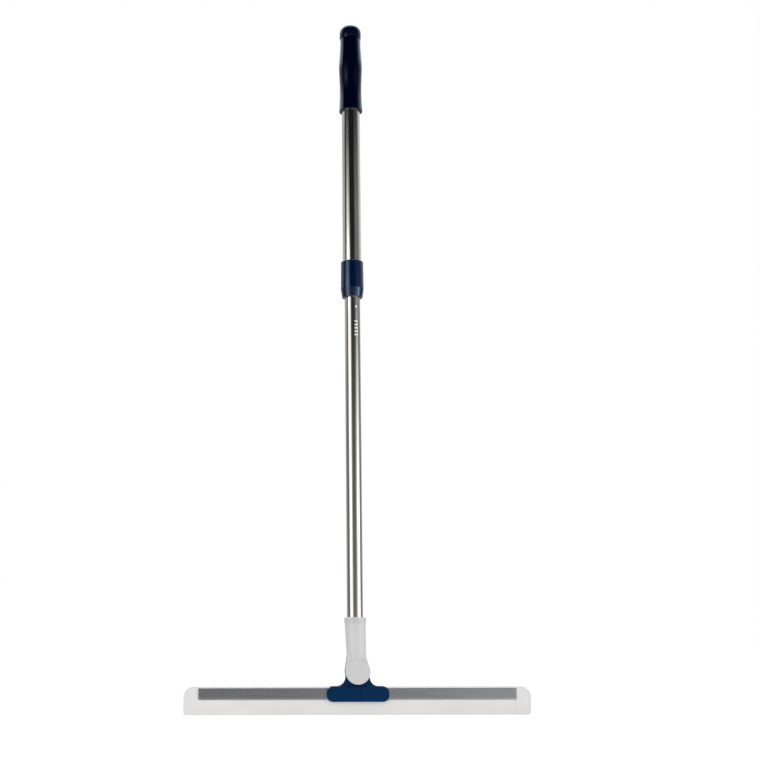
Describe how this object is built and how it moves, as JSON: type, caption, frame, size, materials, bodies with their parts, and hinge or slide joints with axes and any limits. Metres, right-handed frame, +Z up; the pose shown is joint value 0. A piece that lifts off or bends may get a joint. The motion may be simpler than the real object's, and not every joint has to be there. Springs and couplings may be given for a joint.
{
  "type": "window squeegee with telescopic pole",
  "caption": "Straight foam-blade window squeegee on a swivelling knuckle, with a two-stage twist-lock telescopic tube pole and a moulded grip with a hang hole.",
  "frame": {"origin": "centre of the hang hole in the end cap, on the pole's axis", "axes": "+Z up the pole, +X along the blade, +Y to the back, along the hang hole; the front faces -Y"},
  "size_m": [0.44, 0.0322, 0.9355],
  "materials": {
    "outer_tube": "polished",
    "inner_tube": "polished",
    "grip": "gloss",
    "end_cap": "gloss",
    "lock_collar": "gloss",
    "sleeve_plastic": "satin",
    "clamp_plastic": "satin",
    "plug_plastic": "satin",
    "knuckle": "satin",
    "knuckle_cap": "satin",
    "friction_plastic": "matte",
    "screw_steel": "satin",
    "bush_brass": "satin",
    "bracket": "satin",
    "channel": "satin",
    "blade": "matte"
  },
  "bodies": {
    "upper_pole": {"outer_tube": "outer_tube", "grip": "grip", "end_cap": "end_cap", "lock_sleeve": "sleeve_plastic"},
    "clamp_ring": {"clamp_ring": "clamp_plastic"},
    "lock_collar": {"lock_collar": "lock_collar"},
    "guide_ring": {"guide_ring": "clamp_plastic"},
    "lower_pole": {"inner_tube": "inner_tube", "inner_end_plug": "plug_plastic", "tube_plug": "plug_plastic", "knuckle": "knuckle", "socket_screw": "screw_steel", "pivot_bolt": "screw_steel", "pivot_washer": "screw_steel", "spring_washer": "screw_steel", "pivot_nut": "screw_steel", "friction_washers": "friction_plastic", "pivot_cap": "knuckle_cap"},
    "head": {"pivot_bush": "bush_brass", "bracket": "bracket", "clamp_screws": "screw_steel", "clamp_channel": "channel", "blade": "blade"}
  },
  "joints": [
    {"name": "lock_slide", "type": "slide", "parent": "upper_pole", "child": "clamp_ring", "axis": [0, 0, -1], "range_m": [0, 0.0015]},
    {"name": "collar_turn", "type": "hinge", "parent": "clamp_ring", "child": "lock_collar", "pos_m": [0, 0, -0.353], "axis": [0, 0, -1], "range_deg": [0, 180]},
    {"name": "pole_slide", "type": "slide", "parent": "upper_pole", "child": "guide_ring", "axis": [0, 0, 1], "range_m": [-0.01, 0.26]},
    {"name": "pole_turn", "type": "hinge", "parent": "guide_ring", "child": "lower_pole", "pos_m": [0, 0, -0.3135], "axis": [0, 0, 1], "continuous": true},
    {"name": "head_swivel", "type": "hinge", "parent": "lower_pole", "child": "head", "pos_m": [0.0025, 0, -0.86655], "axis": [0, 1, 0], "range_deg": [-90, 90]}
  ],
  "couplings": [
    {"joint": "lock_slide", "follows": "collar_turn", "m_per_rad": 0.000477}
  ]
}
